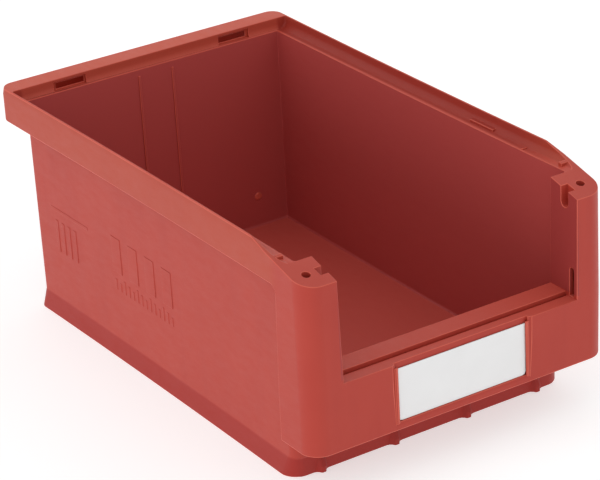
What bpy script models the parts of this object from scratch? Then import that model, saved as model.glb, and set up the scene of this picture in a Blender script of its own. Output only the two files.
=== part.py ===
"""Open-front stacking storage bin with a slide-in label card.

Millimetres are used for the driving dimensions and turned into metres when the
meshes are made. X is the width, -Y is the open front, +Z is up. The origin is
the centre of the footprint, at the surface that the bin stands on.
"""

import math

import bmesh
import bpy

# Overall size
LENGTH = 350.0
WIDTH = 210.0
HEIGHT = 150.0
FRONT_Y = -LENGTH / 2
BACK_Y = LENGTH / 2
HALF_WIDTH = WIDTH / 2

# Wall and skin thicknesses
SKIN = 2.2
FRONT_SKIN = 2.4
TOP_PLATE = 2.3

# Tub: half widths and back face of the outside, at the skirt and at the ledge
TUB_LOW_Z = 6.0
TUB_LOW_HALF = 96.0
TUB_LOW_BACK = 158.0
TUB_HALF = 96.7
TUB_BACK = 158.9
FLOOR_TOP = 7.2
FLOOR_BOTTOM = 5.0
CAVITY_LOW_HALF = 93.2
CAVITY_LOW_BACK = 155.2
CAVITY_HALF = 94.5
CAVITY_BACK = 156.7
FRONT_WALL_LOW_Y = -138.2
FRONT_WALL_Y = -150.0
TUB_CORNER = 8.0
CAVITY_CORNER = 5.5

# Foot skirt and runners
SKIRT_TOP = 12.6
SKIRT_HALF = 98.4
SKIRT_BACK = 159.6
SKIRT_FRONT = -138.5
RUNNER_X = (26.0, 77.5)
RUNNER_WIDTH = 2.8
RUNNER_NOSE = 3.6

# Rim, ledge and hanging flange
RIM_CORNER = 9.0
POST_CORNER = 10.5
FLANGE_BOTTOM = 128.0
RIM_CHAMFER_DROP = 4.0
RIM_CHAMFER_IN = 1.0
LEDGE_Z = 142.0
LEDGE_WIDTH = 3.0
CREST_HALF = 103.2
CREST_BACK = 159.2
CHANNEL_ROOF = 139.6
REAR_GRIP_ROOF = 147.6
REAR_GRIP_FRONT = 161.3

# Falling front of the rim and the two posts
SLOPE_START_Y = -120.8
SLOPE_END_Z = 135.6
SLOPE = (HEIGHT - SLOPE_END_Z) / (SLOPE_START_Y - FRONT_Y)
POST_INNER = 83.2
POST_INNER_LOW = 82.2
BAND_BACK_Y = -143.0
FASCIA_BOTTOM = 29.8
PIN_HOLE = (95.2, -162.8, 2.6)
PANE_SLOT_Y = (-166.6, -160.0)
PANE_SLOT_DEPTH = 4.8
PANE_SLOT_BOTTOM = 127.4
KEEPER_SLOT_Y = (-172.0, -168.0)
KEEPER_SLOT_BOTTOM = 72.8
KEEPER_SLOT_TOP = 91.0

# Low front wall
FASCIA_TOP = 72.2
BAND_TOP = 74.2
BAND_FRONT_Y = -164.0
GROOVE_WIDTH = 2.0
GROOVE_BOTTOM = 70.4
FASCIA_ROOF = 68.2
BAND_ROOF = 71.9
BAND_HOLLOW_Y = (-161.8, -151.0)

# Label holder and card
HOLDER_HALF = 46.9
HOLDER_BOTTOM = 34.9
HOLDER_BACK_Y = -172.3
BEAD_HALF = 44.9
BEAD_Y = (-174.6, -173.5)
BEAD_TOP = 69.5
CARD_HALF = 45.7
CARD_Z = (35.2, 68.2)
CARD_Y = (-173.15, -172.6)
CARD_CORNER = 2.0

# Small features of the rim
REAR_SLOT_X = (50.6, 71.6)
REAR_SLOT_Z = (143.0, 147.0)
REAR_POCKET_X = (50.0, 73.6)
REAR_POCKET_BACK = 160.3
SIDE_BAR_Y = (-78.0, -51.5)
SIDE_BAR_X = (98.6, 101.4)
SIDE_BAR_TOP = 144.4
STOP_RIB_Y = (-139.8, -137.6)
STOP_RIB_X = (95.4, 103.6)
TICK_Y = (-108.8, -107.2)
TICK_X = (94.7, 99.0)
WALL_LINE_X = 12.5
WALL_LINE_WIDTH = 1.2
WALL_LINE_PROUD = 0.5

CORNER_STEPS = 5
MM = 0.001

RED_PLASTIC = (0.52, 0.085, 0.062, 1.0)
WHITE_CARD = (0.80, 0.80, 0.79, 1.0)


def clear_scene():
    for obj in list(bpy.data.objects):
        bpy.data.objects.remove(obj, do_unlink=True)
    for mesh in list(bpy.data.meshes):
        bpy.data.meshes.remove(mesh)


def make_object(name, points, faces):
    """A mesh object from points in millimetres, with its faces turned outwards."""
    mesh = bpy.data.meshes.new(name)
    shape = bmesh.new()
    corners = [shape.verts.new([value * MM for value in point]) for point in points]
    for face in faces:
        shape.faces.new([corners[index] for index in face])
    bmesh.ops.recalc_face_normals(shape, faces=shape.faces)
    shape.to_mesh(mesh)
    shape.free()
    obj = bpy.data.objects.new(name, mesh)
    bpy.context.scene.collection.objects.link(obj)
    return obj


def loft(name, rings):
    """A closed solid through rings that have the same number of points."""
    count = len(rings[0])
    points = [point for ring in rings for point in ring]
    faces = [list(range(count)), [count * (len(rings) - 1) + i for i in range(count)]]
    for level in range(len(rings) - 1):
        low = level * count
        for i in range(count):
            j = (i + 1) % count
            faces.append([low + i, low + j, low + count + j, low + count + i])
    return make_object(name, points, faces)


def box(name, x_range, y_range, z_range):
    ring = [(x_range[0], y_range[0]), (x_range[1], y_range[0]), (x_range[1], y_range[1]), (x_range[0], y_range[1])]
    return loft(name, [[(x, y, z) for x, y in ring] for z in z_range])


def prism(name, outline, along, span):
    """Extrudes a 2-D outline along X (outline in Y, Z) or along Y (outline in X, Z)."""
    if along == "X":
        return loft(name, [[(end, a, b) for a, b in outline] for end in span])
    return loft(name, [[(a, end, b) for a, b in outline] for end in span])


def rounded_ring(half, front, back, z, front_radius, back_radius):
    """A rounded rectangle at one height, symmetric in X."""
    corners = (
        (half - front_radius, front + front_radius, front_radius, -90),
        (half - back_radius, back - back_radius, back_radius, 0),
        (-half + back_radius, back - back_radius, back_radius, 90),
        (-half + front_radius, front + front_radius, front_radius, 180),
    )
    ring = []
    for x, y, radius, start in corners:
        for step in range(CORNER_STEPS + 1):
            angle = math.radians(start + 90 * step / CORNER_STEPS)
            ring.append((x + radius * math.cos(angle), y + radius * math.sin(angle), z))
    return ring


def cylinder(name, x, y, radius, z_range, steps=20):
    angles = [2 * math.pi * i / steps for i in range(steps)]
    return loft(name, [[(x + radius * math.cos(a), y + radius * math.sin(a), z) for a in angles] for z in z_range])


def slope_z(y):
    """Height of the plane that the rim and the post tops fall along, at a given Y."""
    return HEIGHT - SLOPE * (SLOPE_START_Y - y)


def apply_boolean(target, other, operation):
    modifier = target.modifiers.new(other.name, "BOOLEAN")
    modifier.operation = operation
    modifier.solver = "EXACT"
    modifier.object = other
    graph = bpy.context.evaluated_depsgraph_get()
    mesh = bpy.data.meshes.new_from_object(target.evaluated_get(graph))
    target.modifiers.clear()
    target.data = mesh
    bpy.data.objects.remove(other, do_unlink=True)


def cut(target, other):
    apply_boolean(target, other, "DIFFERENCE")


def join(target, other):
    apply_boolean(target, other, "UNION")


def material(name, color, roughness):
    result = bpy.data.materials.new(name)
    result.use_nodes = True
    shader = result.node_tree.nodes["Principled BSDF"]
    shader.inputs["Base Color"].default_value = color
    shader.inputs["Roughness"].default_value = roughness
    shader.inputs["Metallic"].default_value = 0.0
    return result


def outer_skin():
    """Rim, hanging flange, posts and front fascia, hollowed from below."""
    half, front, back = HALF_WIDTH, FRONT_Y, BACK_Y
    inset = RIM_CHAMFER_IN
    rings = [
        rounded_ring(half, front, back, FASCIA_BOTTOM, POST_CORNER, RIM_CORNER),
        rounded_ring(half, front, back, HEIGHT - RIM_CHAMFER_DROP, POST_CORNER, RIM_CORNER),
        rounded_ring(half - inset, front + inset, back - inset, HEIGHT, POST_CORNER - inset, RIM_CORNER - inset),
    ]
    skin = loft("bin_body", rings)
    cut(skin, box("under_flange", (-120, 120), (BAND_BACK_Y, 190), (20, FLANGE_BOTTOM)))

    inner = half - SKIN
    channel = [
        rounded_ring(inner, BAND_BACK_Y + 2.0, back - SKIN, z, 1.0, RIM_CORNER - SKIN)
        for z in (120.0, CHANNEL_ROOF)
    ]
    cut(skin, loft("side_channel", channel))
    cut(skin, box("rear_grip", (-97, 97), (REAR_GRIP_FRONT, back - SKIN - 0.01), (130, REAR_GRIP_ROOF)))
    return skin


def front_hollow():
    """The space behind the fascia and inside the two posts, open at the bottom."""
    back_y = BAND_BACK_Y - SKIN
    inner = HALF_WIDTH - SKIN
    plate_y = HOLDER_BACK_Y + SKIN
    front_y = FRONT_Y + FRONT_SKIN
    notch = HOLDER_HALF + SKIN
    radius = POST_CORNER - SKIN
    right = [(notch, plate_y), (notch, front_y)]
    for step in range(CORNER_STEPS + 1):
        angle = math.radians(-90 + 90 * step / CORNER_STEPS)
        right.append((inner - radius + radius * math.cos(angle), front_y + radius + radius * math.sin(angle)))
    right.append((inner, back_y))
    outline = right + [(-x, y) for x, y in reversed(right)]
    return loft("front_hollow", [[(x, y, z) for x, y in outline] for z in (20.0, FASCIA_ROOF)])


def post_hollow(side):
    """The upper part of one post's inside, under its sloping top plate."""
    inner = HALF_WIDTH - SKIN
    front_y = FRONT_Y + FRONT_SKIN
    back_y = BAND_BACK_Y - SKIN
    radius = POST_CORNER - SKIN
    outline = [(POST_INNER + SKIN, back_y), (POST_INNER + SKIN, front_y)]
    for step in range(CORNER_STEPS + 1):
        angle = math.radians(-90 + 90 * step / CORNER_STEPS)
        outline.append((inner - radius + radius * math.cos(angle), front_y + radius + radius * math.sin(angle)))
    outline.append((inner, back_y))
    low = [(side * x, y, FASCIA_ROOF - 4.0) for x, y in outline]
    high = [(side * x, y, slope_z(y) - TOP_PLATE) for x, y in outline]
    return loft("post_hollow", [low, high])


def tub():
    """The solid of the tub walls, with the flared foot skirt, before it is hollowed."""
    top_front = FRONT_WALL_Y - SKIN
    low_front = FRONT_WALL_LOW_Y - SKIN
    walls = loft(
        "tub_walls",
        [
            rounded_ring(TUB_LOW_HALF, low_front, TUB_LOW_BACK, TUB_LOW_Z, TUB_CORNER, TUB_CORNER),
            rounded_ring(TUB_HALF - 0.4, top_front, TUB_BACK - 0.5, BAND_TOP, TUB_CORNER, TUB_CORNER),
            rounded_ring(TUB_HALF, top_front - 0.4, TUB_BACK, LEDGE_Z - 0.8, TUB_CORNER, TUB_CORNER),
        ],
    )
    skirt = loft(
        "foot_skirt",
        [
            rounded_ring(SKIRT_HALF, SKIRT_FRONT, SKIRT_BACK, 0.0, TUB_CORNER, TUB_CORNER),
            rounded_ring(SKIRT_HALF - 0.5, SKIRT_FRONT - 0.8, SKIRT_BACK - 0.5, 4.0, TUB_CORNER, TUB_CORNER),
            rounded_ring(TUB_LOW_HALF - 0.2, low_front + 0.3, TUB_LOW_BACK - 0.2, SKIRT_TOP, TUB_CORNER, TUB_CORNER),
        ],
    )
    join(walls, skirt)
    for x in RUNNER_X:
        for side in (-1, 1):
            half = RUNNER_WIDTH / 2 + 0.6
            nose = [
                (SKIRT_FRONT - RUNNER_NOSE, 0.0),
                (SKIRT_FRONT + 4.0, 0.0),
                (SKIRT_FRONT + 4.0, 8.0),
                (SKIRT_FRONT - 1.8, 8.0),
                (SKIRT_FRONT - RUNNER_NOSE, 4.5),
            ]
            join(walls, prism("runner_nose", nose, "X", (side * x - half, side * x + half)))
    return walls


def cavity():
    """The inside of the bin, up to the ledge and then out to the rim's crest."""
    ledge = CAVITY_HALF + LEDGE_WIDTH
    ledge_back = CAVITY_BACK + 1.2
    radius = CAVITY_CORNER
    return loft(
        "cavity",
        [
            rounded_ring(CAVITY_LOW_HALF, FRONT_WALL_LOW_Y, CAVITY_LOW_BACK, FLOOR_TOP, radius, radius),
            rounded_ring(CAVITY_HALF - 0.5, FRONT_WALL_Y, CAVITY_BACK - 0.6, BAND_TOP, radius, radius),
            rounded_ring(CAVITY_HALF, FRONT_WALL_Y - 0.4, CAVITY_BACK, LEDGE_Z, radius, radius),
            rounded_ring(ledge, FRONT_WALL_Y - 0.6, ledge_back, LEDGE_Z, radius, radius),
            rounded_ring(ledge + 2.6, FRONT_WALL_Y - 0.7, ledge_back + 0.5, LEDGE_Z + 1.3, radius, radius),
            rounded_ring(CREST_HALF - 0.8, FRONT_WALL_Y - 0.8, CREST_BACK - 0.5, LEDGE_Z + 3.6, radius, radius),
            rounded_ring(CREST_HALF, FRONT_WALL_Y - 0.9, CREST_BACK, HEIGHT + 1.0, radius, radius),
        ],
    )


def open_front(body):
    """Cuts the front opening, the falling rim and the low front wall's stepped top."""
    far = FRONT_Y - 20
    opening = [
        (-POST_INNER_LOW, BAND_TOP),
        (POST_INNER_LOW, BAND_TOP),
        (POST_INNER, slope_z(FRONT_Y)),
        (POST_INNER, HEIGHT + 20),
        (-POST_INNER, HEIGHT + 20),
        (-POST_INNER, slope_z(FRONT_Y)),
    ]
    cut(body, prism("front_opening", opening, "Y", (far, FRONT_WALL_Y + 4.0)))
    top = HEIGHT + 20
    start = SLOPE_START_Y + 20
    wedge = [(far, slope_z(far)), (start, slope_z(start)), (start, top), (far, top)]
    cut(body, prism("falling_rim", wedge, "X", (-130, 130)))
    half = POST_INNER_LOW
    cut(body, box("front_land", (-half, half), (far, BAND_FRONT_Y), (FASCIA_TOP, BAND_TOP + 5)))
    groove = (BAND_FRONT_Y - GROOVE_WIDTH, BAND_FRONT_Y)
    cut(body, box("front_groove", (-half, half), groove, (GROOVE_BOTTOM, BAND_TOP + 5)))


def underside(body):
    """Five bays between the runners, so that the foot is a skirt with runners."""
    edge = SKIRT_HALF - 2.6
    walls = [-edge]
    for x in (-RUNNER_X[1], -RUNNER_X[0], RUNNER_X[0], RUNNER_X[1]):
        walls += [x - RUNNER_WIDTH / 2, x + RUNNER_WIDTH / 2]
    walls.append(edge)
    for left, right in zip(walls[0::2], walls[1::2]):
        cut(body, box("bay", (left, right), (SKIRT_FRONT + 2.6, SKIRT_BACK - 2.6), (-2.0, FLOOR_BOTTOM)))


def post_details(body):
    """Pin hole, pane slot and keeper slot in each post, and the small features of the rim."""
    slot_low, slot_high = PANE_SLOT_Y
    radius = (slot_high - slot_low) / 2
    middle = (slot_high + slot_low) / 2
    round_bottom = []
    for step in range(9):
        angle = math.pi + math.pi * step / 8
        y = middle + radius * math.cos(angle)
        round_bottom.append((y, PANE_SLOT_BOTTOM + radius + radius * math.sin(angle)))
    round_bottom += [(slot_high, HEIGHT), (slot_low, HEIGHT)]
    for side in (-1, 1):
        x, y, hole_radius = PIN_HOLE
        cut(body, cylinder("pin_hole", side * x, y, hole_radius, (125.0, HEIGHT)))
        ends = sorted((side * (POST_INNER - 3), side * (POST_INNER + PANE_SLOT_DEPTH)))
        cut(body, prism("pane_slot", round_bottom, "X", ends))
        ends = sorted((side * (POST_INNER_LOW - 3), side * (POST_INNER + SKIN + 2)))
        cut(body, box("keeper_slot", ends, KEEPER_SLOT_Y, (KEEPER_SLOT_BOTTOM, KEEPER_SLOT_TOP)))
        ends = sorted((side * SIDE_BAR_X[0], side * SIDE_BAR_X[1]))
        join(body, box("side_bar", ends, SIDE_BAR_Y, (LEDGE_Z - 1, SIDE_BAR_TOP)))
        ends = sorted((side * REAR_POCKET_X[0], side * REAR_POCKET_X[1]))
        cut(body, box("rear_pocket", ends, (CAVITY_BACK + 1.5, REAR_POCKET_BACK), (LEDGE_Z + 0.1, HEIGHT + 3)))
        ends = sorted((side * REAR_SLOT_X[0], side * REAR_SLOT_X[1]))
        cut(body, box("rear_slot", ends, (CAVITY_BACK + 1, REAR_GRIP_FRONT + 3), REAR_SLOT_Z))
        ends = sorted((side * STOP_RIB_X[0], side * STOP_RIB_X[1]))
        rib_top = slope_z(STOP_RIB_Y[0]) - 0.6
        join(body, box("stop_rib", ends, STOP_RIB_Y, (LEDGE_Z - 1, rib_top)))
        ends = sorted((side * TICK_X[0], side * TICK_X[1]))
        join(body, box("tick", ends, TICK_Y, (LEDGE_Z - 1, LEDGE_Z + 1.2)))
        line = sorted((side * (WALL_LINE_X - WALL_LINE_WIDTH / 2), side * (WALL_LINE_X + WALL_LINE_WIDTH / 2)))
        low = CAVITY_LOW_BACK - WALL_LINE_PROUD
        high = CAVITY_BACK - WALL_LINE_PROUD
        wedge = [(low, FLOOR_TOP - 1), (low + 2, FLOOR_TOP - 1), (high + 2, LEDGE_Z - 2), (high, LEDGE_Z - 2)]
        join(body, prism("wall_line", wedge, "X", line))


def label_holder(body):
    """The recess in the fascia, with a retaining bead along each side."""
    recess = ((-HOLDER_HALF, HOLDER_HALF), (FRONT_Y - 5, HOLDER_BACK_Y), (HOLDER_BOTTOM, FASCIA_TOP + 5))
    cut(body, box("holder", *recess))
    for side in (-1, 1):
        ends = sorted((side * BEAD_HALF, side * (HOLDER_HALF + 1)))
        join(body, box("bead", ends, BEAD_Y, (HOLDER_BOTTOM - 1, BEAD_TOP)))


def build_body():
    body = outer_skin()
    cut(body, front_hollow())
    for side in (-1, 1):
        cut(body, post_hollow(side))
    cut(body, box("band_hollow", (-80, 80), BAND_HOLLOW_Y, (FASCIA_ROOF - 4, BAND_ROOF)))
    join(body, tub())
    cut(body, cavity())
    open_front(body)
    underside(body)
    post_details(body)
    label_holder(body)
    body.data.materials.clear()
    body.data.materials.append(material("red_plastic", RED_PLASTIC, 0.42))
    return body


def build_card():
    """The card, with rounded corners, standing in the holder."""
    radius = CARD_CORNER
    outline = []
    corners = (
        (CARD_HALF - radius, CARD_Z[0] + radius, -90),
        (CARD_HALF - radius, CARD_Z[1] - radius, 0),
        (-CARD_HALF + radius, CARD_Z[1] - radius, 90),
        (-CARD_HALF + radius, CARD_Z[0] + radius, 180),
    )
    for x, z, start in corners:
        for step in range(CORNER_STEPS + 1):
            angle = math.radians(start + 90 * step / CORNER_STEPS)
            outline.append((x + radius * math.cos(angle), z + radius * math.sin(angle)))
    card = prism("label_card", outline, "Y", CARD_Y)
    card.data.materials.append(material("white_card", WHITE_CARD, 0.55))
    return card


def main():
    clear_scene()
    build_body()
    build_card()


main()
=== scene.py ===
"""Looks for the open-front storage bin: a fine moulded body, a paper card, floor, light and camera."""

import math

import bmesh
import bpy
from mathutils import Matrix, Vector, noise


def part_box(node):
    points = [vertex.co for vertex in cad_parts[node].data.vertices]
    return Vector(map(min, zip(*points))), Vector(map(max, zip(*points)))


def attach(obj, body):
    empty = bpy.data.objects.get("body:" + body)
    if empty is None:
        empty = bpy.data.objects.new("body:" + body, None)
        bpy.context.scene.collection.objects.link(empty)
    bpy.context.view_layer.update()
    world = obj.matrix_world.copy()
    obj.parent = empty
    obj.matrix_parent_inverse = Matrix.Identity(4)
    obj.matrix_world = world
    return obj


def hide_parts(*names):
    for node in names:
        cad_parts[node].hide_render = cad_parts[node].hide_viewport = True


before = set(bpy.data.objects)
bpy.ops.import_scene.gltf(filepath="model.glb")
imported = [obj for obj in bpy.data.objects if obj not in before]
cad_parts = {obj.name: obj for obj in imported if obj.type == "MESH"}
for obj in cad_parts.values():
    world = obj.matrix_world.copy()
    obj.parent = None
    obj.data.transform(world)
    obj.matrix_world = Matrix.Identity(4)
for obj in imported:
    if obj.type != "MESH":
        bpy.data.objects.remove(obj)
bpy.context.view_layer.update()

MM = 0.001

# The bin's sizes are in millimetres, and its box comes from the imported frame. The floor, the light
# and the camera are placed in metres.
BODY_LOW, BODY_HIGH = [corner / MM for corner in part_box("bin_body")]
HALF = BODY_HIGH.x
FRONT = BODY_LOW.y
BACK = BODY_HIGH.y
TOP = BODY_HIGH.z

# Outer skin: rim, hanging flange, posts and fascia
SKIN = 2.2
FASCIA = 2.4
POST_CORNER = 12.6
RIM_CORNER = 9.0
FASCIA_FOOT = 29.8
FLANGE_FOOT = 127.8
SKIN_END = -144.9
CHANNEL_FRONT = -141.0
CHANNEL_TOP = 139.6

# Ledge inside the rim, and the plane that the rim and the post tops fall along
LEDGE = 142.0
SLOPE_START = -120.8
SLOPE = 14.4 / (SLOPE_START - FRONT)

# Tub: its front wall at the band and at the floor, its side walls at their foot and at the band,
# the foot skirt, and the runners under the floor
WALL_FRONT = -150.0
WALL_FRONT_LOW = -138.2
WALL_LOW = 13.4
WALL_LOW_HALF = 96.0
WALL_BAND_HALF = 96.35
FOOT_HALF = 98.4
RUNNERS = (26.0, 77.5)

# Front opening between the posts, and the stepped top of the low front wall
POST_IN = 83.2
POST_IN_LOW = 82.2
BAND = 74.2
BAND_FRONT = -164.0
LAND = 72.2
ROOF = 68.2

# Holes in the post tops, and the boss of the rear wall
PIN_X, PIN_Y = 95.2, -162.8
BOSS = (71.0, 155.0, 28.8)
BOSS_RADIUS = 2.9

# The side walls draw in by the bow at its middle, and not at all beyond its reach
BOW = 1.1
BOW_MIDDLE = 5.0
BOW_REACH = 155.0

# Half length of a cut that runs right across, and how far a cut goes past an outer face
ACROSS = 130
PAST = 20

# Edge rounding, and the number of steps in a rounded corner
EDGE_RADIUS = 0.7
PLAIN_EDGE = 0.52
SHARP_FROM = math.radians(16)
CRISP_FROM = math.radians(50)
STEPS = 14

# Colours of the plastic: its mottled red, tones by place (some of them painted shade or painted light),
# upward faces pale from dust and painted top light, and edges pale from wear and a painted highlight
RED = (0.445, 0.045, 0.029, 1.0)
RED_LIGHT = (0.465, 0.050, 0.032, 1.0)
RED_DEEP = (0.385, 0.035, 0.026, 1.0)
RED_FOOT = (0.36, 0.020, 0.014, 1.0)
RED_RIM = (0.45, 0.072, 0.034, 1.0)
# Painted shade on the side ledges and their upstands
UPSTAND_PAINTED_SHADE = (0.35, 0.032, 0.021, 1.0)
# Painted top light on the broad crest of the rear rim
CREST_PAINTED_LIGHT = (0.69, 0.114, 0.066, 1.0)
# Painted shade on the posts' inner faces
POST_PAINTED_SHADE = (0.36, 0.046, 0.042, 1.0)
# Painted sheen inside: a paler, greyer red standing for a veil of reflected light
INSIDE_PAINTED_SHEEN = (0.475, 0.073, 0.066, 1.0)
# Upward faces: partly dust, partly painted top light
DUST_AND_TOP_LIGHT = (0.67, 0.105, 0.073, 1.0)
# Pale red of the rounded edges, partly wear and partly a painted highlight; also painted light on the rear
# upstand
WEAR_AND_HIGHLIGHT_RED = (0.62, 0.105, 0.068, 1.0)
WEAR_AND_HIGHLIGHT_PALE = (0.68, 0.125, 0.082, 1.0)

PAPER = (0.88, 0.88, 0.88, 1.0)
PAPER_DULL = (0.85, 0.85, 0.85, 1.0)
FLOOR_GREY = (0.62, 0.62, 0.62, 1.0)
WHITE = (1.0, 1.0, 1.0, 1.0)


# ---------------------------------------------------------------- solids and cuts


def make_object(name, points, faces):
    """A closed mesh from points in millimetres, with its faces turned outwards."""
    mesh = bpy.data.meshes.new(name)
    shape = bmesh.new()
    corners = [shape.verts.new([value * MM for value in point]) for point in points]
    for face in faces:
        shape.faces.new([corners[index] for index in face])
    bmesh.ops.recalc_face_normals(shape, faces=shape.faces)
    shape.to_mesh(mesh)
    shape.free()
    obj = bpy.data.objects.new(name, mesh)
    bpy.context.scene.collection.objects.link(obj)
    return obj


def loft(name, rings):
    """A closed solid through rings that have the same number of points."""
    count = len(rings[0])
    points = [point for ring in rings for point in ring]
    faces = [list(range(count)), [count * (len(rings) - 1) + i for i in range(count)]]
    for level in range(len(rings) - 1):
        low = level * count
        for i in range(count):
            j = (i + 1) % count
            faces.append([low + i, low + j, low + count + j, low + count + i])
    return make_object(name, points, faces)


def box(x, y, z):
    """A block between two values of X, of Y and of Z."""
    ring = [(x[0], y[0]), (x[1], y[0]), (x[1], y[1]), (x[0], y[1])]
    return loft("tool", [[(a, b, level) for a, b in ring] for level in z])


def prism(outline, along, ends):
    """Extrudes an outline along X (given in Y, Z), along Y (in X, Z) or along Z (in X, Y)."""
    rings = []
    for end in ends:
        if along == "X":
            rings.append([(end, a, b) for a, b in outline])
        elif along == "Y":
            rings.append([(a, end, b) for a, b in outline])
        else:
            rings.append([(a, b, end) for a, b in outline])
    return loft("tool", rings)


def arc(centre, radius, start, end, steps):
    """Points on an arc, with angles in degrees."""
    points = []
    for i in range(steps + 1):
        angle = math.radians(start + (end - start) * i / steps)
        points.append((centre[0] + radius * math.cos(angle), centre[1] + radius * math.sin(angle)))
    return points


def circle(centre, radius):
    """A full circle of 36 points."""
    return arc(centre, radius, 0, 350, 35)


def rounded_ring(half, front, back, z, front_radius, back_radius):
    """A rounded rectangle at one height, symmetric in X."""
    ring = arc((half - front_radius, front + front_radius), front_radius, -90, 0, STEPS)
    ring += arc((half - back_radius, back - back_radius), back_radius, 0, 90, STEPS)
    ring += arc((-half + back_radius, back - back_radius), back_radius, 90, 180, STEPS)
    ring += arc((-half + front_radius, front + front_radius), front_radius, 180, 270, STEPS)
    return [(x, y, z) for x, y in ring]


def slope_z(y):
    """Height of the plane that the rim and the post tops fall along, at a given Y."""
    return TOP - SLOPE * (SLOPE_START - y)


def joined(parts):
    """One object from several whose solids don't touch each other."""
    shape = bmesh.new()
    for part in parts:
        shape.from_mesh(part.data)
    shape.to_mesh(parts[0].data)
    shape.free()
    for part in parts[1:]:
        bpy.data.objects.remove(part, do_unlink=True)
    return parts[0]


def apply_modifiers(obj):
    """Turns an object's modifiers into its mesh."""
    graph = bpy.context.evaluated_depsgraph_get()
    mesh = bpy.data.meshes.new_from_object(obj.evaluated_get(graph))
    obj.modifiers.clear()
    obj.data = mesh


def boolean(target, solids, operation):
    """Takes the solids away from the target or joins them to it, and clears them up."""
    tool = joined(solids)
    modifier = target.modifiers.new("boolean", "BOOLEAN")
    modifier.operation = operation
    modifier.solver = "EXACT"
    modifier.object = tool
    apply_modifiers(target)
    bpy.data.objects.remove(tool, do_unlink=True)


def cut(target, *solids):
    """Takes solids away from the target."""
    boolean(target, list(solids), "DIFFERENCE")


def join(target, *solids):
    """Joins solids to the target."""
    boolean(target, list(solids), "UNION")


def mirrored(make):
    """The solids of the left side and of the right side, from a function of the side's sign."""
    return [solid for side in (-1, 1) for solid in make(side)]


def span(side, near, far):
    """The two ends in X, in rising order, of something between two distances from the middle."""
    return sorted((side * near, side * far))


# ---------------------------------------------------------------- the moulded body


def outer_skin():
    """Rim, hanging flange, posts and fascia as one block, then opened from below."""
    rings = []
    for z, inset, front_inset in (
        (FASCIA_FOOT, 0.3, 0.9),
        (LAND, 0.15, 0.0),
        (TOP - 4.2, 0.0, 0.0),
        (TOP - 0.5, 0.75, 0.6),
        (TOP, 1.05, 0.9),
    ):
        half, front, back = HALF - inset, FRONT + front_inset, BACK - inset
        rings.append(rounded_ring(half, front, back, z, POST_CORNER - inset, RIM_CORNER - inset))
    skin = loft("bin_body_visual", rings)

    # Behind the posts only the flange hangs. A rounded corner leads from its foot to the skin's
    # end, which comes a little further back on its way down and bends at the knee.
    radius, knee, behind = 4.6, 60.0, 190
    lean = 1.6 * (knee - FASCIA_FOOT) / 50.0
    below = FASCIA_FOOT - 12
    edge = [
        (CHANNEL_FRONT - lean, knee),
        (CHANNEL_FRONT, below),
        (behind, below),
        (behind, FLANGE_FOOT),
    ]
    edge += arc((SKIN_END + radius, FLANGE_FOOT - radius), radius, 90, 180, 8)
    cut(skin, prism(edge, "X", (-ACROSS, ACROSS)))

    half, back, corner = HALF - SKIN, BACK - SKIN, RIM_CORNER - SKIN
    levels = (110.0, CHANNEL_TOP)
    channel = [rounded_ring(half, CHANNEL_FRONT, back, z, 1.0, corner) for z in levels]
    cut(skin, loft("tool", channel))
    cut(skin, box((-97, 97), (161.3, back - 0.01), (130, 147.6)))
    return skin


def hollow_outline(start_x, back_y):
    """Half of the front hollow's outline: along the fascia, round the post's corner and back."""
    inner = HALF - SKIN
    front_y = FRONT + FASCIA
    radius = POST_CORNER - SKIN
    points = [(start_x, front_y)]
    points += arc((inner - radius, front_y + radius), radius, -90, 0, STEPS)
    points.append((inner, back_y))
    return points


def open_hollows(skin):
    """The hollows behind the fascia and in the posts, open below, with slot cases and pin sleeves."""
    back_y = -145.4
    recess_x, recess_y = 49.2, -170.1
    right = [(recess_x, recess_y)] + hollow_outline(recess_x, back_y)
    outline = right + [(-x, y) for x, y in reversed(right)]
    cut(skin, prism(outline, "Z", (20.0, ROOF)))

    def post(side):
        start_x = POST_IN + SKIN
        points = [(start_x, back_y)] + hollow_outline(start_x, back_y)
        low = [(side * x, y, ROOF - 4.0) for x, y in points]
        high = [(side * x, y, slope_z(y) - 2.3) for x, y in points]
        return [loft("tool", [low, high])]

    cut(skin, *mirrored(post))
    cut(skin, box((-80, 80), (-161.8, -151.0), (ROOF - 4, 71.9)))

    def slot_case(side):
        front, back, foot, cover = -169.5, -157.6, 121.0, 1.1
        outline = [
            (front, foot),
            (back, foot),
            (back, slope_z(back) - cover),
            (front, slope_z(front) - cover),
        ]
        return [prism(outline, "X", span(side, POST_IN + 1.4, POST_IN + 6.6))]

    def pin_sleeve(side):
        ring = circle((side * PIN_X, PIN_Y), 4.2)
        low = [(x, y, 128.0) for x, y in ring]
        high = [(x, y, slope_z(y) - 1.2) for x, y in ring]
        return [loft("tool", [low, high])]

    join(skin, *mirrored(slot_case), *mirrored(pin_sleeve))


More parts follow.
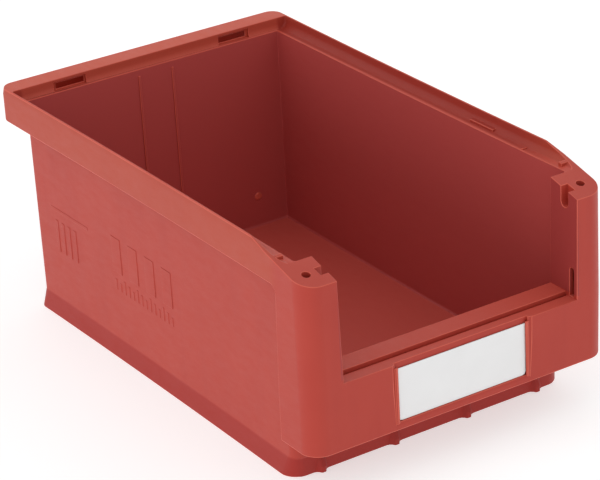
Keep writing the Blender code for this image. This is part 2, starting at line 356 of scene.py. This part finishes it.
def tub():
    """The outside of the tub with its flared foot skirt and the noses of its runners."""
    top_front = WALL_FRONT - SKIN
    low_front = WALL_FRONT_LOW - SKIN
    radius = 7.5
    foot_radius = radius + 3.5
    walls = loft(
        "tool",
        [
            rounded_ring(FOOT_HALF, -139.2, 159.6, 0.0, foot_radius, radius),
            rounded_ring(98.2, -139.4, 159.4, 1.2, foot_radius, radius),
            rounded_ring(96.1, low_front + 0.3, 157.9, 12.2, radius, radius),
            rounded_ring(WALL_LOW_HALF, low_front - 0.4, 158.0, WALL_LOW, radius, radius),
            rounded_ring(WALL_BAND_HALF, top_front, 158.4, BAND, radius, radius),
            rounded_ring(96.7, top_front - 0.4, 158.9, LEDGE - 0.8, radius, radius),
        ],
    )

    def noses(side):
        root, lean = -139.0, 0.35
        flare = [(-6.0, 3.0), (-6.0, 0.0), (-3.6, -0.7), (-2.3, -1.9), (-1.7, -3.0), (-1.0, -3.5)]
        solids = []
        for x in RUNNERS:
            centre = side * x
            outline = [(centre + a, root + b) for a, b in flare]
            outline += [(centre - a, root + b) for a, b in reversed(flare)]
            low = [(a, b, 0.0) for a, b in outline]
            middle = [(a, b, 3.6) for a, b in outline]
            top = [(a, root + (b - root) * (lean if b < root else 1.0), 9.5) for a, b in outline]
            solids.append(loft("tool", [low, middle, top]))
        return solids

    join(walls, *mirrored(noses))
    return walls


def cavity():
    """The inside: rounded floor edge and drafted walls."""
    half_low, half_high = 93.2, 94.5
    radius, rear = 2.0, 0.6
    floor, fillet, steps = 7.2, 1.6, 7
    rings = []
    for i in range(steps + 1):
        angle = math.radians(90 * i / steps)
        inset = fillet * (1 - math.sin(angle))
        half, front, back = half_low - inset, WALL_FRONT_LOW + inset, 155.2 - inset
        rings.append(rounded_ring(half, front, back, floor + fillet * (1 - math.cos(angle)), radius, rear))
    rings.append(rounded_ring(half_high - 0.5, WALL_FRONT, 156.1, BAND, radius, rear))
    for z in (LEDGE, TOP + 1.0):
        rings.append(rounded_ring(half_high, WALL_FRONT - 0.4, 156.7, z, radius, rear))
    return loft("tool", rings)


def rim_space():
    """What is open above the flat ledge: a curved upstand rises from it to the crest."""
    front, radius, rear = -156.0, 2.0, 1.4
    ledge, ledge_back = 97.9, 157.7
    bend, back_bend = 4.9, 1.3
    rings = [rounded_ring(ledge, front, ledge_back, LEDGE, radius, rear)]
    for i in range(1, 9):
        angle = math.radians(9.9 * i)
        half = ledge + bend * math.sin(angle)
        back = ledge_back + back_bend * math.sin(angle)
        z = LEDGE + bend * (1 - math.cos(angle))
        rings.append(rounded_ring(half, front - 0.02 * i, back, z, radius, rear))
    rings.append(rounded_ring(103.15, front - 0.2, 159.1, TOP + 1.0, radius, rear))
    return loft("tool", rings)


def open_front(body):
    """The front opening, the falling rim, the stepped top of the low front wall and its groove."""
    far = FRONT - PAST
    high = TOP + PAST
    half = POST_IN_LOW
    opening = [
        (-half, BAND),
        (half, BAND),
        (POST_IN, slope_z(FRONT)),
        (POST_IN, high),
        (-POST_IN, high),
        (-POST_IN, slope_z(FRONT)),
    ]
    cut(body, prism(opening, "Y", (far, WALL_FRONT + 4.0)))
    start = SLOPE_START + PAST
    wedge = [(far, slope_z(far)), (start, slope_z(start)), (start, high), (far, high)]
    cut(body, prism(wedge, "X", (-ACROSS, ACROSS)))
    groove = 70.3
    step = [
        (far, LAND),
        (BAND_FRONT - 2.1, LAND),
        (BAND_FRONT - 1.9, groove),
        (BAND_FRONT - 0.4, groove),
        (BAND_FRONT, BAND + 5),
        (far, BAND + 5),
    ]
    cut(body, prism(step, "X", (-half, half)))


def open_underside(body):
    """Five bays between the four runners. The outer two have their outer corners cut off."""
    front, back = -136.4, 157.0
    front_shoulder, back_shoulder = -128.0, 152.0
    front_cut, back_cut = 7.0, 5.0
    half_runner = 1.4
    edge = FOOT_HALF - 2.6
    walls = [-edge]
    for x in (-RUNNERS[1], -RUNNERS[0], RUNNERS[0], RUNNERS[1]):
        walls += [x - half_runner, x + half_runner]
    walls.append(edge)
    bays = []
    for left, right in zip(walls[0::2], walls[1::2]):
        left_front, left_back = [(left, front)], [(left, back)]
        right_front, right_back = [(right, front)], [(right, back)]
        if left == -edge:
            left_front = [(left, front_shoulder), (left + front_cut, front)]
            left_back = [(left + back_cut, back), (left, back_shoulder)]
        if right == edge:
            right_front = [(right - front_cut, front), (right, front_shoulder)]
            right_back = [(right, back_shoulder), (right - back_cut, back)]
        bays.append(prism(left_front + right_front + right_back + left_back, "Z", (-2.0, 5.0)))
    cut(body, *bays)


def slot_outline(centre, half_width, low, high):
    """A slot's outline in Y and Z, round at the bottom."""
    bottom = arc((centre, low + half_width), half_width, 180, 360, 18)
    return bottom + [(centre + half_width, high), (centre - half_width, high)]


def cut_details(body):
    """Pin holes, pane slots, keeper slots, and the rear rim's slots in their shallow frames."""

    def details(side):
        hole = circle((side * PIN_X, PIN_Y), 2.6)
        pane = slot_outline(-163.3, 3.3, 127.2, TOP)
        keeper = [(-172.0, 72.8), (-168.0, 72.8)] + arc((-170.0, 89.0), 2.0, 0, 180, 18)
        return [
            prism(hole, "Z", (124.0, TOP)),
            prism(pane, "X", span(side, POST_IN - 3, POST_IN + 4.9)),
            prism(keeper, "X", span(side, POST_IN_LOW - 3, POST_IN + SKIN + 2)),
            box(span(side, 50.8, 71.4), (157.0, 164.0), (143.0, 147.0)),
        ]

    cut(body, *mirrored(details))

    def slot_frame(side):
        return [box(span(side, 50.0, 73.4), (157.4, 160.2), (LEDGE + 0.1, 148.2))]

    cut(body, *mirrored(slot_frame))


def add_details(body):
    """Stop ribs, ticks and bars on the side ledges, and the rear wall's fine ribs and boss."""

    def ribs(side):
        root = LEDGE - 1
        stop = [(-143.3, root), (-140.2, root), (-140.2, 144.2), (-141.2, 144.5), (-143.3, 144.0)]
        rear_rib = [(154.5, 14.0), (157.0, 14.0), (158.0, 137.5), (155.9, 137.5)]
        return [
            prism(stop, "X", span(side, 96.9, 103.5)),
            box(span(side, 95.4, 99.3), (-108.7, -107.3), (root, LEDGE + 0.7)),
            box(span(side, 98.7, 101.6), (-75.4, -52.6), (root, 143.6)),
            prism(rear_rib, "X", span(side, 11.7, 13.3)),
        ]

    join(body, *mirrored(ribs))
    x, face, z = BOSS
    rings = []
    for radius, y in ((BOSS_RADIUS, 156.5), (BOSS_RADIUS, 155.4), (2.3, 155.15), (1.3, face)):
        rings.append([(x + a, y, z + b) for a, b in circle((0, 0), radius)])
    join(body, loft("tool", rings))


def label_holder(body):
    """A recess with sloping sides in the fascia, open at the top, and a bead along each side."""
    deep, mouth, far = -172.3, -173.7, FRONT - 1.0
    wide, wider = 46.9, 48.9
    foot, lower = 34.9, 29.9
    top = LAND + 5

    def ring(half, y, low):
        return [(-half, y, low), (half, y, low), (half, y, top), (-half, y, top)]

    rings = [
        ring(wide, deep, foot),
        ring(wide, mouth, foot),
        ring(wider, FRONT + 0.35, lower + 0.5),
        ring(wider, far, lower),
    ]
    cut(body, loft("tool", rings))

    def bead(side):
        section = [
            (44.9, -173.45),
            (47.6, -173.45),
            (47.6, -174.45),
            (46.2, -174.7),
            (45.3, -174.5),
            (44.9, -174.0),
        ]
        points = [(side * x, y) for x, y in section]
        return [prism(points, "Z", (foot - 1.0, 69.6))]

    join(body, *mirrored(bead))


def wall_reliefs(body):
    """Plain raised panels and bars on both outer side walls, as a generic moulded mark."""

    def wall(z):
        """Half the width across the side walls at a height, or a hair less near their foot."""
        low_half = WALL_LOW_HALF - 0.05
        return low_half + (z - WALL_LOW) * (WALL_BAND_HALF - low_half) / (BAND - WALL_LOW)

    def raised(side, y, z, height=0.28):
        base = wall(min(max(z[0], 14.0), BAND)) - 0.5
        return box(span(side, base, wall(z[1]) + height), y, z)

    def marks(side):
        solids = []
        for y in (-12.0, 8.0, 28.0, 48.0):
            solids.append(raised(side, (y, y + 11.0), (60.0, 84.0)))
        for i in range(14):
            y = -11.0 + 5.1 * i
            solids.append(raised(side, (y, y + 2.2), (47.5, 53.5 + 1.5 * (i % 3)), 0.25))
        for i in range(4):
            solids.append(raised(side, (104.0 + 7.5 * i, 107.6 + 7.5 * i), (48.0, 70.0)))
        solids.append(raised(side, (88.0, 134.0), (76.0, 78.4), 0.2))
        return solids

    join(body, *mirrored(marks))


def clean(mesh):
    """Merges stray points and clears flat or loose leftovers of the cuts and joins."""
    shape = bmesh.new()
    shape.from_mesh(mesh)
    bmesh.ops.remove_doubles(shape, verts=shape.verts, dist=0.004 * MM)
    bmesh.ops.dissolve_degenerate(shape, dist=0.004 * MM, edges=shape.edges)
    shape.normal_update()
    bmesh.ops.dissolve_limit(
        shape,
        angle_limit=math.radians(0.12),
        verts=shape.verts,
        edges=shape.edges,
        delimit={"NORMAL"},
    )
    shape.to_mesh(mesh)
    shape.free()


def bow_sides(mesh):
    """Cuts long faces across and draws the side walls in a little, most at mid-length."""
    shape = bmesh.new()
    shape.from_mesh(mesh)
    y, last, spacing = -135.0, 150.0, 19.0
    while y < last:
        geometry = shape.verts[:] + shape.edges[:] + shape.faces[:]
        middle = (0, y * MM, 0)
        bmesh.ops.bisect_plane(shape, geom=geometry, plane_co=middle, plane_no=(0, 1, 0), dist=1e-6)
        y += spacing
    still, ramp = 60.0, 32.0
    for vert in shape.verts:
        x = vert.co.x / MM
        along = (vert.co.y / MM - BOW_MIDDLE) / BOW_REACH
        reach = min(max((abs(x) - still) / ramp, 0.0), 1.0)
        inward = BOW * max(0.0, 1 - along * along) * reach * reach * (3 - 2 * reach)
        vert.co.x -= math.copysign(inward * MM, x)
    shape.to_mesh(mesh)
    shape.free()


def edge_weight(start, end):
    """The share of the full rounding that a convex edge takes: all of it at the feet of the fascia
    and the flange and down the skin's ends, none on the runners' noses, about half elsewhere."""
    x = min(abs(start.x), abs(end.x)) / MM
    y = max(start.y, end.y) / MM
    low, high = sorted((start.z / MM, end.z / MM))
    if high < 15.0 and y < -138.0:
        return 0.0
    fascia_foot = abs(high - FASCIA_FOOT) < 1.5 and y < -139.0 and (x > 97.0 or y < -165.0)
    beside_post = x > 97.0 and -147.0 < y < -139.0
    skin_end = beside_post and low > FASCIA_FOOT - 1 and high < FLANGE_FOOT + 1
    level_foot = abs(low - FLANGE_FOOT) < 1.0 and abs(high - FLANGE_FOOT) < 1.0
    flange_foot = level_foot and (x > 100.0 or y > 168.0)
    return 1.0 if fascia_foot or skin_end or flange_foot else PLAIN_EDGE


def weigh_edges(mesh):
    """Marks convex edges for rounding. Concave ones, and those left unrounded, stay crisp."""
    shape = bmesh.new()
    shape.from_mesh(mesh)
    shape.normal_update()
    layers = shape.edges.layers.float
    weight = layers.get("bevel_weight_edge") or layers.new("bevel_weight_edge")
    for face in shape.faces:
        face.smooth = True
    for edge in shape.edges:
        if len(edge.link_faces) != 2:
            continue
        angle = edge.calc_face_angle_signed(0.0)
        if angle > SHARP_FROM:
            edge[weight] = edge_weight(edge.verts[0].co, edge.verts[1].co)
        if abs(angle) > SHARP_FROM and edge[weight] == 0.0:
            edge.smooth = False
    shape.to_mesh(mesh)
    shape.free()


def finish_faces(mesh):
    """Holds every point within the body's width and keeps sharp corners crisp. The rear wall's boss takes
    the pale edge material, and the raised marks of the side walls the plain one, so their edges carry no
    painted highlight."""
    shape = bmesh.new()
    shape.from_mesh(mesh)
    for vert in shape.verts:
        vert.co.x = min(max(vert.co.x, -HALF * MM), HALF * MM)
    for edge in shape.edges:
        if len(edge.link_faces) == 2 and edge.calc_face_angle(0.0) > CRISP_FROM:
            edge.smooth = False
    boss = Vector(BOSS) * MM
    for face in shape.faces:
        centre = face.calc_center_median()
        if (centre - boss).length < 3.0 * MM and face.normal.y < -0.5:
            face.material_index = 1
        among_marks = -15.0 < centre.y / MM < 140.0 and 45.0 < centre.z / MM < 90.0
        if among_marks and abs(centre.x) > 94.7 * MM:
            face.material_index = 0
    shape.to_mesh(mesh)
    shape.free()


def build_body(materials):
    """The whole moulding. Its rounded edges take the second material, the rest the first."""
    body = outer_skin()
    open_hollows(body)
    join(body, tub())
    cut(body, cavity())
    open_front(body)
    cut(body, rim_space())
    open_underside(body)
    cut_details(body)
    add_details(body)
    label_holder(body)
    wall_reliefs(body)
    clean(body.data)
    bow_sides(body.data)
    weigh_edges(body.data)
    body.data.materials.clear()
    for material in materials:
        body.data.materials.append(material)
    bevel = body.modifiers.new("rounded_edges", "BEVEL")
    bevel.limit_method = "WEIGHT"
    bevel.width = EDGE_RADIUS * MM
    bevel.segments = 2
    bevel.use_clamp_overlap = False
    bevel.loop_slide = True
    bevel.miter_outer = "MITER_ARC"
    # The rounded edges take the pale second material: worn plastic with a painted highlight along them
    bevel.material = 1
    apply_modifiers(body)
    finish_faces(body.data)
    normals = body.modifiers.new("even_shading", "WEIGHTED_NORMAL")
    normals.keep_sharp = True
    normals.weight = 80
    return body


# ---------------------------------------------------------------- the card


def build_card():
    """A card with rounded lower corners and a faint curl, as a thin closed sheet."""
    low, high = [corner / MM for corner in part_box("label_card")]
    columns, rows = 60, 22
    inset, curl_depth, radius = 0.05, 0.05, 3.2
    mesh = bpy.data.meshes.new("label_card_visual")
    shape = bmesh.new()

    def foot_rise(x):
        """How far the lower edge rises near its rounded corners."""
        past = abs(x) - (high.x - radius)
        return 0.0 if past <= 0 else radius - math.sqrt(max(radius * radius - past * past, 0.0))

    grids = []
    for face_y in (low.y + inset, high.y - inset):
        grid = []
        for j in range(rows + 1):
            line = []
            for i in range(columns + 1):
                x = low.x + (high.x - low.x) * i / columns
                foot = low.z + foot_rise(x)
                z = foot + (high.z - foot) * j / rows
                curl = curl_depth * noise.noise(Vector((x * 0.03, z * 0.05, 2.0)))
                y = min(max(face_y + curl, low.y), high.y)
                line.append(shape.verts.new((x * MM, y * MM, z * MM)))
            grid.append(line)
        grids.append(grid)
    front, back = grids
    for j in range(rows):
        for i in range(columns):
            shape.faces.new([front[j][i], front[j][i + 1], front[j + 1][i + 1], front[j + 1][i]])
            shape.faces.new([back[j][i], back[j + 1][i], back[j + 1][i + 1], back[j][i + 1]])
    for i in range(columns):
        for j in (0, rows):
            shape.faces.new([front[j][i], front[j][i + 1], back[j][i + 1], back[j][i]])
    for j in range(rows):
        for i in (0, columns):
            shape.faces.new([front[j][i], front[j + 1][i], back[j + 1][i], back[j][i]])
    bmesh.ops.recalc_face_normals(shape, faces=shape.faces)
    shape.to_mesh(mesh)
    shape.free()
    card = bpy.data.objects.new("label_card_visual", mesh)
    bpy.context.scene.collection.objects.link(card)
    mesh.shade_smooth()
    mesh.set_sharp_from_angle(angle=math.radians(40))
    return card


# ---------------------------------------------------------------- materials


def node_material(name):
    """A node material, with its tree and its shader."""
    material = bpy.data.materials.new(name)
    material.use_nodes = True
    tree = material.node_tree
    return material, tree, tree.nodes["Principled BSDF"]


def noise_node(tree, coordinates, scale, detail, rough=0.5, stretch=None):
    """A noise texture in object space, optionally stretched along the axes."""
    source = coordinates.outputs["Object"]
    if stretch:
        mapping = tree.nodes.new("ShaderNodeMapping")
        mapping.inputs["Scale"].default_value = stretch
        tree.links.new(source, mapping.inputs["Vector"])
        source = mapping.outputs["Vector"]
    texture = tree.nodes.new("ShaderNodeTexNoise")
    texture.inputs["Scale"].default_value = scale
    texture.inputs["Detail"].default_value = detail
    texture.inputs["Roughness"].default_value = rough
    tree.links.new(source, texture.inputs["Vector"])
    return texture.outputs["Fac"]


def map_range(tree, value, low, high, from_low=0.3, from_high=0.7):
    """A value that runs from low to high while its source runs from from_low to from_high."""
    node = tree.nodes.new("ShaderNodeMapRange")
    node.inputs["From Min"].default_value = from_low
    node.inputs["From Max"].default_value = from_high
    node.inputs["To Min"].default_value = low
    node.inputs["To Max"].default_value = high
    tree.links.new(value, node.inputs["Value"])
    return node.outputs["Result"]


def rising(tree, place, start, end, most=1.0):
    """0 up to start and the most from end on, with both in millimetres."""
    return map_range(tree, place, 0.0, most, start * MM, end * MM)


def falling(tree, place, start, end, most=1.0):
    """The most up to start and 0 from end on, with both in millimetres."""
    return map_range(tree, place, most, 0.0, start * MM, end * MM)


def mix_color(tree, factor, first, second):
    """The first colour where the factor is 0 and the second where it is 1."""
    node = tree.nodes.new("ShaderNodeMix")
    node.data_type = "RGBA"
    for value, index in ((factor, 0), (first, 6), (second, 7)):
        if isinstance(value, tuple):
            node.inputs[index].default_value = value
        else:
            tree.links.new(value, node.inputs[index])
    return node.outputs[2]


def calculate(tree, operation, *values):
    """The output of a maths node, whose values are numbers or other nodes' outputs."""
    node = tree.nodes.new("ShaderNodeMath")
    node.operation = operation
    for index, value in enumerate(values):
        if isinstance(value, float):
            node.inputs[index].default_value = value
        else:
            tree.links.new(value, node.inputs[index])
    return node.outputs["Value"]


def product(tree, *factors):
    """The factors multiplied together."""
    result = factors[0]
    for factor in factors[1:]:
        result = calculate(tree, "MULTIPLY", result, factor)
    return result


def axes(tree, vector):
    """The X, Y and Z of a vector, by name."""
    split = tree.nodes.new("ShaderNodeSeparateXYZ")
    tree.links.new(vector, split.inputs["Vector"])
    return split.outputs


def add_bump(tree, shader, height, strength, distance):
    """Fine relief from a height, with the distance in millimetres."""
    bump = tree.nodes.new("ShaderNodeBump")
    bump.inputs["Strength"].default_value = strength
    bump.inputs["Distance"].default_value = distance * MM
    tree.links.new(height, bump.inputs["Height"])
    tree.links.new(bump.outputs["Normal"], shader.inputs["Normal"])


def foot_mask(tree, place):
    """0.8 on everything up to the top of the foot skirt."""
    return falling(tree, place["Z"], 11.5, 13.5, 0.8)


def rim_mask(tree, place):
    """Half on the rim and the hanging flange, behind the posts."""
    return product(
        tree,
        rising(tree, place["Z"], 127.2, 128.4, 0.5),
        rising(tree, place["Y"], -148.0, -140.0),
    )


def inside_sheen_mask(tree, place):
    """Painted sheen, 1 on the faces inside the bin, below the ledge, and 0 elsewhere."""
    away = calculate(tree, "ABSOLUTE", place["X"])
    lean = (WALL_FRONT_LOW - WALL_FRONT) / BAND
    # Y as it would be if the front wall stood upright
    upright_y = calculate(tree, "MULTIPLY_ADD", place["Z"], lean, place["Y"])
    corner = calculate(tree, "SUBTRACT", away, upright_y)
    return product(
        tree,
        falling(tree, corner, 228.0, 229.0),
        falling(tree, away, 94.55, 94.7),
        rising(tree, place["Y"], -150.4, -150.0),
        rising(tree, upright_y, -138.0, -137.4),
        falling(tree, place["Y"], 157.7, 157.9),
        rising(tree, place["Z"], 6.0, 6.6),
    )


def upstand_shade_mask(tree, place):
    """Painted shade, 0.8 on the side ledges and the upstands between them and the crest, fading out
    forwards.
    """
    away = calculate(tree, "ABSOLUTE", place["X"])
    return product(
        tree,
        rising(tree, away, 95.0, 96.2, 0.8),
        falling(tree, away, 102.7, 103.1),
        rising(tree, place["Y"], -138.0, -95.0),
        falling(tree, place["Y"], 158.8, 159.4),
        rising(tree, place["Z"], 141.4, 141.8),
    )


def rear_light_mask(tree, place):
    """Painted light, half on the upstand of the rear rim, between the side ledges."""
    away = calculate(tree, "ABSOLUTE", place["X"])
    return product(
        tree,
        falling(tree, away, 96.2, 97.2, 0.5),
        rising(tree, place["Y"], 156.8, 157.2),
        falling(tree, place["Y"], 158.8, 159.2),
        rising(tree, place["Z"], 142.1, 142.4),
    )


def crest_light_mask(tree, place):
    """Painted top light, 0.8 on the broad flat crest of the rear rim."""
    return product(
        tree,
        rising(tree, place["Y"], 159.0, 159.6, 0.8),
        rising(tree, place["Z"], 148.6, 149.2),
    )


def post_shade_mask(tree, place):
    """Painted shade, 1 on the faces of the posts that look at each other."""
    away = calculate(tree, "ABSOLUTE", place["X"])
    return product(
        tree,
        falling(tree, away, 83.4, 84.0),
        falling(tree, place["Y"], -150.6, -150.0),
        rising(tree, place["Z"], 74.4, 74.8),
    )


def moulded_plastic(name, base, light, deep, roughness, tinted):
    """Grained injection-moulded plastic: mottled colour, flow streaks, fine grain, dull scuffs, and pale
    upward faces that are partly dust and partly painted top light. A tinted one also takes a tone for each
    part of the body: a darker, deeper red at the foot skirt, a more orange one on the rim, painted shade
    on the side upstands and the posts' inner faces, and painted light inside, on the rear upstand and on
    the crest."""
    material, tree, shader = node_material(name)
    coordinates = tree.nodes.new("ShaderNodeTexCoord")
    mottle = noise_node(tree, coordinates, scale=26.0, detail=4.0)
    upright, lengthwise = (1.0, 1.0, 0.12), (1.0, 0.35, 1.0)
    streaks = noise_node(tree, coordinates, scale=60.0, detail=3.0, rough=0.55, stretch=upright)
    grain = noise_node(tree, coordinates, scale=1500.0, detail=3.0, rough=0.6)
    scuffs = noise_node(tree, coordinates, scale=210.0, detail=6.0, rough=0.7, stretch=lengthwise)
    color = mix_color(tree, map_range(tree, mottle, 0.0, 1.0), base, light)
    color = mix_color(tree, map_range(tree, streaks, 0.0, 0.35, 0.5, 0.8), color, deep)
    if tinted:
        place = axes(tree, coordinates.outputs["Object"])
        color = mix_color(tree, foot_mask(tree, place), color, RED_FOOT)
        color = mix_color(tree, rim_mask(tree, place), color, RED_RIM)
        # Painted sheen lightens the faces inside the bin
        color = mix_color(tree, inside_sheen_mask(tree, place), color, INSIDE_PAINTED_SHEEN)
        # Painted shade darkens the posts' inner faces
        color = mix_color(tree, post_shade_mask(tree, place), color, POST_PAINTED_SHADE)
    facing = axes(tree, tree.nodes.new("ShaderNodeNewGeometry").outputs["Normal"])
    # Upward faces grow paler, partly dust and partly painted top light
    dust_and_top_light_share = map_range(tree, facing["Z"], 0.0, 0.6, 0.90, 0.995)
    color = mix_color(tree, dust_and_top_light_share, color, DUST_AND_TOP_LIGHT)
    if tinted:
        # Painted shade darkens the side ledges and their upstands
        color = mix_color(tree, upstand_shade_mask(tree, place), color, UPSTAND_PAINTED_SHADE)
        # Painted light on the upstand of the rear rim
        color = mix_color(tree, rear_light_mask(tree, place), color, WEAR_AND_HIGHLIGHT_RED)
        # Painted top light brightens the rear rim's crest
        color = mix_color(tree, crest_light_mask(tree, place), color, CREST_PAINTED_LIGHT)
    tree.links.new(color, shader.inputs["Base Color"])
    dullness = map_range(tree, scuffs, roughness - 0.06, roughness + 0.08)
    tree.links.new(dullness, shader.inputs["Roughness"])
    add_bump(tree, shader, grain, strength=0.35, distance=0.12)
    shader.inputs["Metallic"].default_value = 0.0
    shader.inputs["IOR"].default_value = 1.5
    shader.inputs["Specular IOR Level"].default_value = 0.28
    return material


def paper(name):
    """White coated card: faint cloudiness, fibres in the bump and a soft sheen."""
    material, tree, shader = node_material(name)
    coordinates = tree.nodes.new("ShaderNodeTexCoord")
    clouds = noise_node(tree, coordinates, scale=45.0, detail=4.0)
    upright = (1.0, 1.0, 0.4)
    fibres = noise_node(tree, coordinates, scale=900.0, detail=5.0, rough=0.7, stretch=upright)
    color = mix_color(tree, map_range(tree, clouds, 0.0, 1.0), PAPER, PAPER_DULL)
    tree.links.new(color, shader.inputs["Base Color"])
    tree.links.new(map_range(tree, fibres, 0.5, 0.62), shader.inputs["Roughness"])
    add_bump(tree, shader, fibres, strength=0.2, distance=0.06)
    return material


# ---------------------------------------------------------------- stage, light, camera


def build_floor():
    """A pale floor just under the bin, which glows a little so that it stays white."""
    size = 6.0
    mesh = bpy.data.meshes.new("floor")
    points = [(-size, -size, 0), (size, -size, 0), (size, size, 0), (-size, size, 0)]
    mesh.from_pydata(points, [], [(0, 1, 2, 3)])
    floor = bpy.data.objects.new("floor", mesh)
    bpy.context.scene.collection.objects.link(floor)
    floor.location.z = -0.0002
    material, tree, shader = node_material("floor_pale")
    shader.inputs["Base Color"].default_value = FLOOR_GREY
    shader.inputs["Roughness"].default_value = 0.9
    shader.inputs["Emission Color"].default_value = WHITE
    shader.inputs["Emission Strength"].default_value = 0.58
    mesh.materials.append(material)


def area_light(name, location, target, size, power):
    """A white disk light that faces the target."""
    data = bpy.data.lights.new(name, "AREA")
    data.shape = "DISK"
    data.size = size
    data.energy = power
    light = bpy.data.objects.new(name, data)
    bpy.context.scene.collection.objects.link(light)
    light.location = location
    direction = Vector(target) - Vector(location)
    light.rotation_euler = direction.to_track_quat("-Z", "Y").to_euler()


def build_light():
    """Even white light from all round, and a soft key from the left."""
    world = bpy.data.worlds.new("studio")
    bpy.context.scene.world = world
    world.use_nodes = True
    background = world.node_tree.nodes["Background"]
    background.inputs["Color"].default_value = WHITE
    background.inputs["Strength"].default_value = 0.76
    area_light("key", (-2.3, 0.1, 0.45), (0, 0, 0.08), size=1.2, power=9.0)


def build_camera():
    """A long lens that looks at the bin from the front left, a little from above."""
    azimuth, elevation, roll = (math.radians(a) for a in (-32.119, 24.79, -3.327))
    back = Vector((
        math.sin(azimuth) * math.cos(elevation),
        -math.cos(azimuth) * math.cos(elevation),
        math.sin(elevation),
    ))
    right = Vector((math.cos(azimuth), math.sin(azimuth), 0.0))
    up = back.cross(right)
    turned_right = right * math.cos(roll) + up * math.sin(roll)
    turned_up = up * math.cos(roll) - right * math.sin(roll)
    data = bpy.data.cameras.new("camera")
    data.sensor_width = 36.0
    data.lens = 168.83
    data.clip_start = 0.05
    data.clip_end = 30.0
    camera = bpy.data.objects.new("camera", data)
    bpy.context.scene.collection.objects.link(camera)
    matrix = Matrix((turned_right, turned_up, back)).transposed().to_4x4()
    matrix.translation = Vector((-0.83252, -1.33330, 0.79861))
    camera.matrix_world = matrix
    bpy.context.scene.camera = camera


# ---------------------------------------------------------------- assembly

plastic = moulded_plastic("red_plastic_moulded", RED, RED_LIGHT, RED_DEEP, 0.46, tinted=True)
# The pale edge material: worn plastic with a painted highlight
worn_and_highlit = moulded_plastic("red_plastic_worn_edge_painted_highlight", WEAR_AND_HIGHLIGHT_RED, WEAR_AND_HIGHLIGHT_PALE, RED, 0.40, tinted=False)
body = build_body([plastic, worn_and_highlit])
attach(body, "bin")
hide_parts("bin_body")

card = build_card()
card.data.materials.append(paper("white_card_paper"))
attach(card, "label")
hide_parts("label_card")

build_floor()
build_light()
build_camera()
bpy.context.scene.view_settings.view_transform = "Standard"
